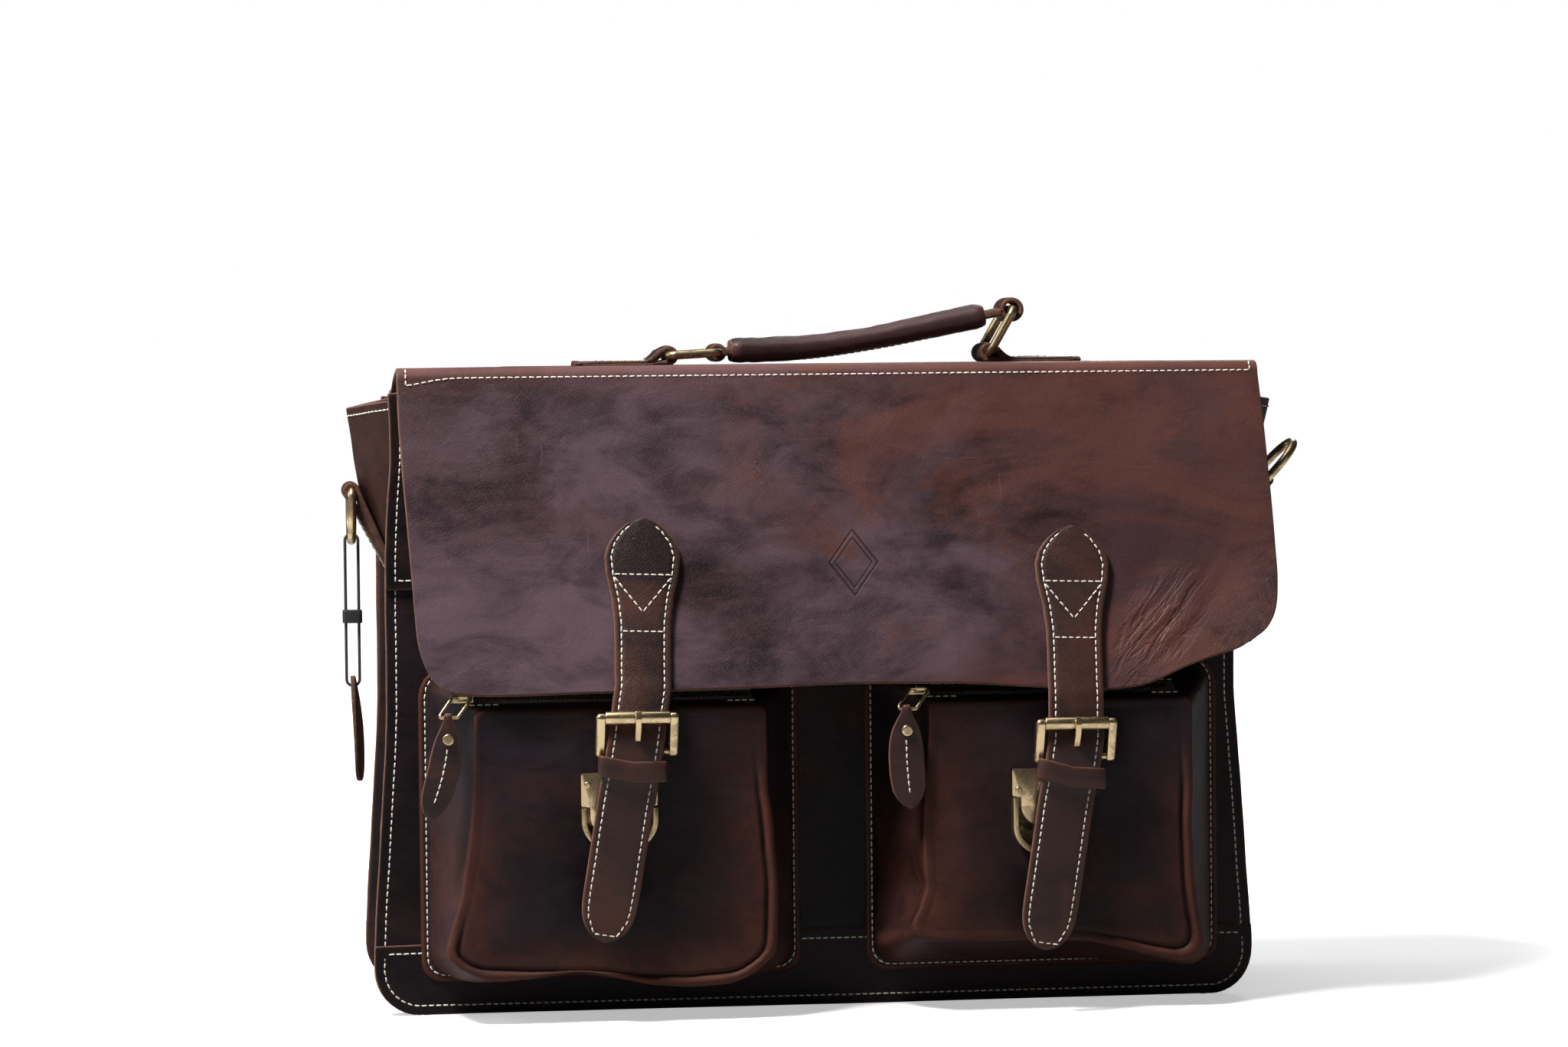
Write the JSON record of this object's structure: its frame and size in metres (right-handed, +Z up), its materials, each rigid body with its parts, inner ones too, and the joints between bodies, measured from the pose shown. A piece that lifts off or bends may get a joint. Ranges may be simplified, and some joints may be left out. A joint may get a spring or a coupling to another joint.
{
  "type": "satchel bag",
  "caption": "Leather satchel with a fold-over flap, buckled straps with press locks, zipped front pockets, a ringed carrying handle and a D-ring on each side.",
  "frame": {"origin": "centre of the base, on the ground", "axes": "+X right seen from the front, the front with the buckles faces -Y, +Z up"},
  "size_m": [0.4498, 0.166, 0.3223],
  "materials": {
    "dark_brown_leather": "waxed, satin",
    "strap_leather": "waxed, satin",
    "antique_brass": "antiqued, worn bright on edges",
    "lining_cloth": "plain woven",
    "cord": "waxed cord",
    "black_bead": "matte"
  },
  "bodies": {
    "bag": {"front_panel_upper": "dark_brown_leather", "front_panel_lower": "dark_brown_leather", "back_panel": "dark_brown_leather", "base_band_front": "dark_brown_leather", "base_band_back": "dark_brown_leather", "base_panel": "dark_brown_leather", "base_board": "lining_cloth", "lining": "lining_cloth", "divider": "lining_cloth", "side_gusset_left": "dark_brown_leather", "side_gusset_right": "dark_brown_leather", "lock_body_left": "antique_brass", "lock_body_right": "antique_brass", "dring_tab_left": "strap_leather", "dring_tab_right": "strap_leather", "zip_chain_left": "antique_brass", "zip_chain_right": "antique_brass", "pocket_left_gusset": "dark_brown_leather", "pocket_left_front": "dark_brown_leather", "pocket_left_zip_panel": "dark_brown_leather", "pocket_right_gusset": "dark_brown_leather", "pocket_right_front": "dark_brown_leather", "pocket_right_zip_panel": "dark_brown_leather"},
    "flap": {"flap": "dark_brown_leather", "clip_rivets": "antique_brass", "strap_left": "strap_leather", "strap_right": "strap_leather", "chape_left": "strap_leather", "chape_right": "strap_leather", "keeper_left": "strap_leather", "keeper_right": "strap_leather", "lock_clip_left": "antique_brass", "lock_clip_right": "antique_brass", "handle_tab_left": "strap_leather", "handle_tab_right": "strap_leather"},
    "handle_ring_left": {"handle_ring_left": "antique_brass"},
    "handle_ring_right": {"handle_ring_right": "antique_brass"},
    "handle": {"handle_strap": "strap_leather", "handle_wrap": "strap_leather"},
    "dring_left": {"dring_left": "antique_brass"},
    "dring_right": {"dring_right": "antique_brass"},
    "tag_cord": {"tag_cord": "cord"},
    "tag_bead": {"tag_bead": "black_bead"},
    "hang_tag": {"hang_tag": "strap_leather"},
    "buckle_left": {"buckle_frame_left": "antique_brass"},
    "prong_left": {"buckle_prong_left": "antique_brass"},
    "roller_left": {"buckle_roller_left": "antique_brass"},
    "lock_button_left": {"lock_button_left": "antique_brass"},
    "slider_left": {"zip_slider_left": "antique_brass"},
    "pull_left": {"pull_ring_left": "antique_brass", "pull_tab_left": "strap_leather", "pull_rivet_left": "antique_brass"},
    "buckle_right": {"buckle_frame_right": "antique_brass"},
    "prong_right": {"buckle_prong_right": "antique_brass"},
    "roller_right": {"buckle_roller_right": "antique_brass"},
    "lock_button_right": {"lock_button_right": "antique_brass"},
    "slider_right": {"zip_slider_right": "antique_brass"},
    "pull_right": {"pull_ring_right": "antique_brass", "pull_tab_right": "strap_leather", "pull_rivet_right": "antique_brass"}
  },
  "joints": [
    {"name": "flap_hinge", "type": "hinge", "parent": "bag", "child": "flap", "pos_m": [0, 0.051, 0.289], "axis": [-1, 0, 0], "range_deg": [0, 110]},
    {"name": "handle_ring_left_swing", "type": "hinge", "parent": "flap", "child": "handle_ring_left", "pos_m": [-0.0614, 0, 0.2967], "axis": [0, -1, 0], "range_deg": [0, 45]},
    {"name": "handle_swing", "type": "hinge", "parent": "handle_ring_left", "child": "handle", "pos_m": [-0.03843, 0, 0.2979], "axis": [0, -1, 0], "range_deg": [-52, 0]},
    {"name": "handle_ring_right_swing", "type": "hinge", "parent": "flap", "child": "handle_ring_right", "pos_m": [0.0883, 0, 0.2967], "axis": [0, -1, 0], "range_deg": [0, 16]},
    {"name": "dring_left_swing", "type": "hinge", "parent": "bag", "child": "dring_left", "pos_m": [-0.2082, 0, 0.236], "axis": [0, 1, 0], "range_deg": [-5, 130]},
    {"name": "tag_cord_swing", "type": "hinge", "parent": "dring_left", "child": "tag_cord", "pos_m": [-0.2082, 0, 0.213], "axis": [0, 1, 0], "range_deg": [-131, 6]},
    {"name": "tag_bead_slide", "type": "slide", "parent": "tag_cord", "child": "tag_bead", "axis": [0, 0, 1], "range_m": [-0.018, 0.018]},
    {"name": "hang_tag_swing", "type": "hinge", "parent": "tag_cord", "child": "hang_tag", "pos_m": [-0.2082, 0, 0.146], "axis": [1, 0, 0], "range_deg": [-35, 35]},
    {"name": "dring_right_swing", "type": "hinge", "parent": "bag", "child": "dring_right", "pos_m": [0.2197, 0, 0.236], "axis": [0, -1, 0], "range_deg": [-138, 10]},
    {"name": "buckle_left_tilt", "type": "hinge", "parent": "flap", "child": "buckle_left", "pos_m": [-0.0868, -0.1018, 0.1215], "axis": [1, 0, 0], "range_deg": [0, 8]},
    {"name": "prong_left_lift", "type": "hinge", "parent": "buckle_left", "child": "prong_left", "pos_m": [-0.0868, -0.1018, 0.1215], "axis": [1, 0, 0], "range_deg": [0, 12]},
    {"name": "roller_left_spin", "type": "hinge", "parent": "buckle_left", "child": "roller_left", "pos_m": [-0.0868, -0.108, 0.137], "axis": [1, 0, 0], "continuous": true},
    {"name": "lock_button_left_press", "type": "slide", "parent": "bag", "child": "lock_button_left", "axis": [0, 1, 0], "range_m": [0, 0.0012]},
    {"name": "zip_left_slide", "type": "slide", "parent": "bag", "child": "slider_left", "axis": [1, 0, 0], "range_m": [0, 0.048]},
    {"name": "pull_left_swing", "type": "hinge", "parent": "slider_left", "child": "pull_left", "pos_m": [-0.163, -0.092, 0.1466], "axis": [-1, 0, 0], "range_deg": [0, 50]},
    {"name": "buckle_right_tilt", "type": "hinge", "parent": "flap", "child": "buckle_right", "pos_m": [0.1103, -0.1018, 0.1152], "axis": [1, 0, 0], "range_deg": [0, 8]},
    {"name": "prong_right_lift", "type": "hinge", "parent": "buckle_right", "child": "prong_right", "pos_m": [0.1103, -0.1018, 0.1152], "axis": [1, 0, 0], "range_deg": [0, 12]},
    {"name": "roller_right_spin", "type": "hinge", "parent": "buckle_right", "child": "roller_right", "pos_m": [0.1103, -0.108, 0.1307], "axis": [1, 0, 0], "continuous": true},
    {"name": "lock_button_right_press", "type": "slide", "parent": "bag", "child": "lock_button_right", "axis": [0, 1, 0], "range_m": [0, 0.0012]},
    {"name": "zip_right_slide", "type": "slide", "parent": "bag", "child": "slider_right", "axis": [1, 0, 0], "range_m": [0, 0.036]},
    {"name": "pull_right_swing", "type": "hinge", "parent": "slider_right", "child": "pull_right", "pos_m": [0.042, -0.092, 0.1466], "axis": [-1, 0, 0], "range_deg": [0, 50]}
  ],
  "couplings": [
    {"joint": "handle_swing", "follows": "handle_ring_left_swing", "ratio": -1.13},
    {"joint": "handle_ring_right_swing", "follows": "handle_ring_left_swing", "ratio": 0.32},
    {"joint": "tag_cord_swing", "follows": "dring_left_swing", "ratio": -1}
  ]
}
